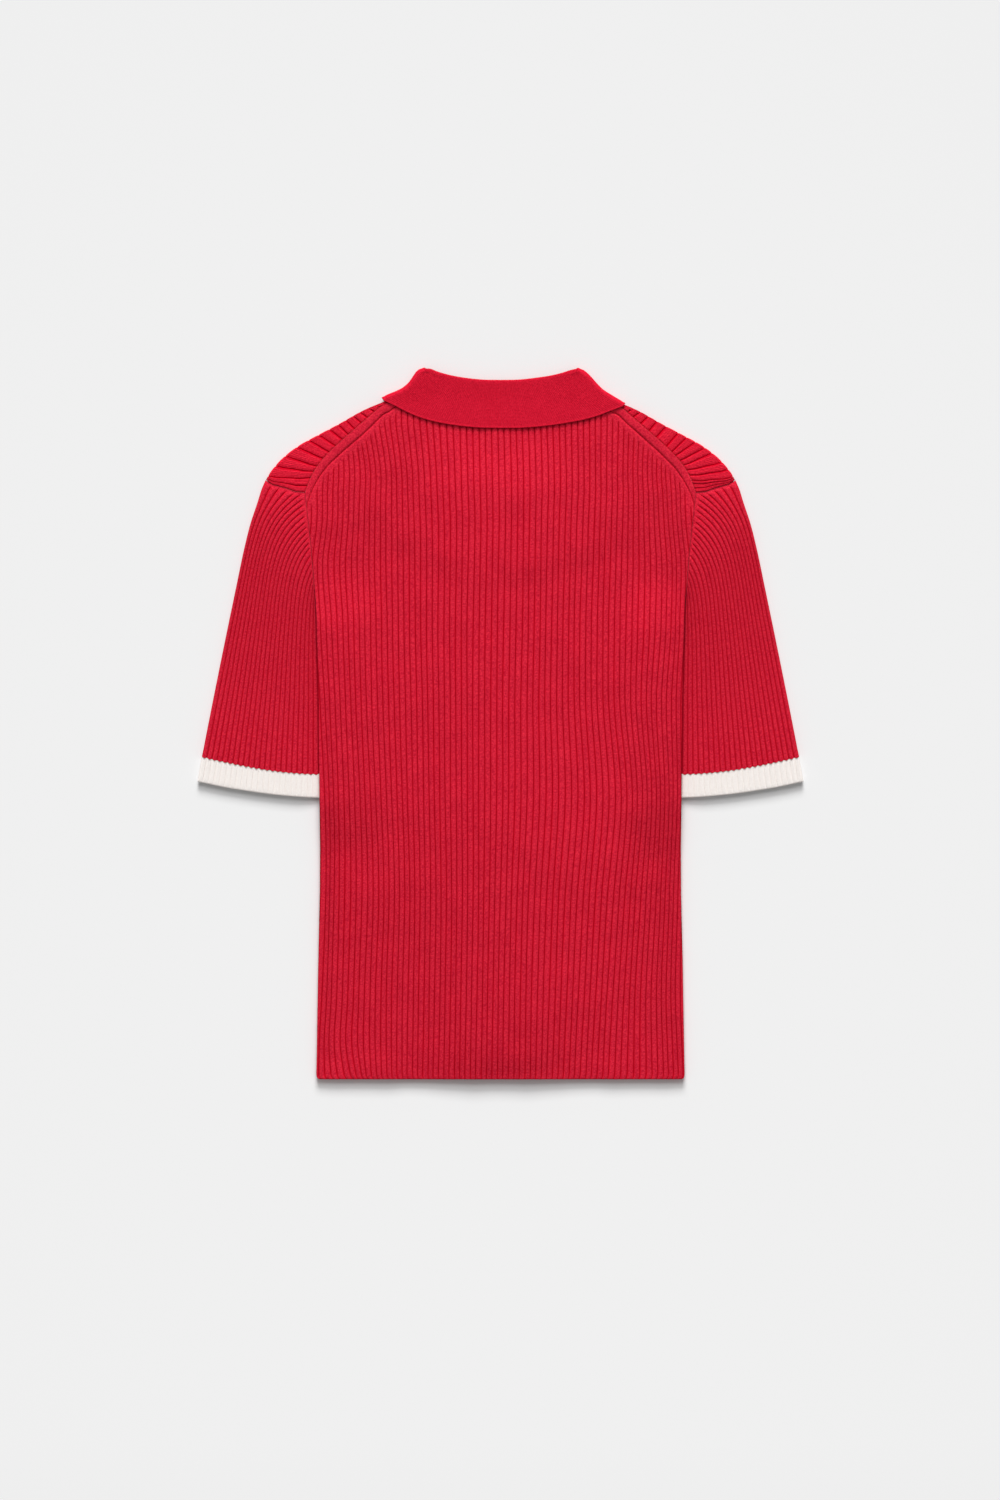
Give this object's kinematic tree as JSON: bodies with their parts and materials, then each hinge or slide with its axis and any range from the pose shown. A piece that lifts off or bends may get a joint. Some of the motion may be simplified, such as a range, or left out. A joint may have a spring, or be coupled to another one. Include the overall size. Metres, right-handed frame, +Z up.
{
  "type": "short sleeve knitted cardigan, laid flat on its front",
  "caption": "Short-sleeved rib-knit cardigan with a folded polo collar and contrast cuff bands, laid flat face down.",
  "frame": {"origin": "on the surface that the garment lies on, under the middle of its outline", "axes": "+Z up from that surface, through the front and then the back; +Y towards the collar; +X to the wearer's right"},
  "size_m": [0.5046, 0.592, 0.0097],
  "materials": {
    "red_rib_knit": "matte rib knit",
    "red_fine_knit": "matte fine knit",
    "cream_rib_knit": "matte rib knit",
    "red_button": "low gloss"
  },
  "bodies": {
    "root": {"back": "red_rib_knit", "front_left": "red_rib_knit", "front_right": "red_rib_knit", "sleeve_left": "red_rib_knit", "sleeve_right": "red_rib_knit", "cuff_left": "cream_rib_knit", "cuff_right": "cream_rib_knit", "collar": "red_fine_knit", "button_band": "red_fine_knit", "buttonhole_band": "red_fine_knit", "button_1": "red_button", "button_2": "red_button", "button_3": "red_button", "button_4": "red_button", "button_5": "red_button", "button_6": "red_button", "button_7": "red_button"}
  },
  "joints": []
}
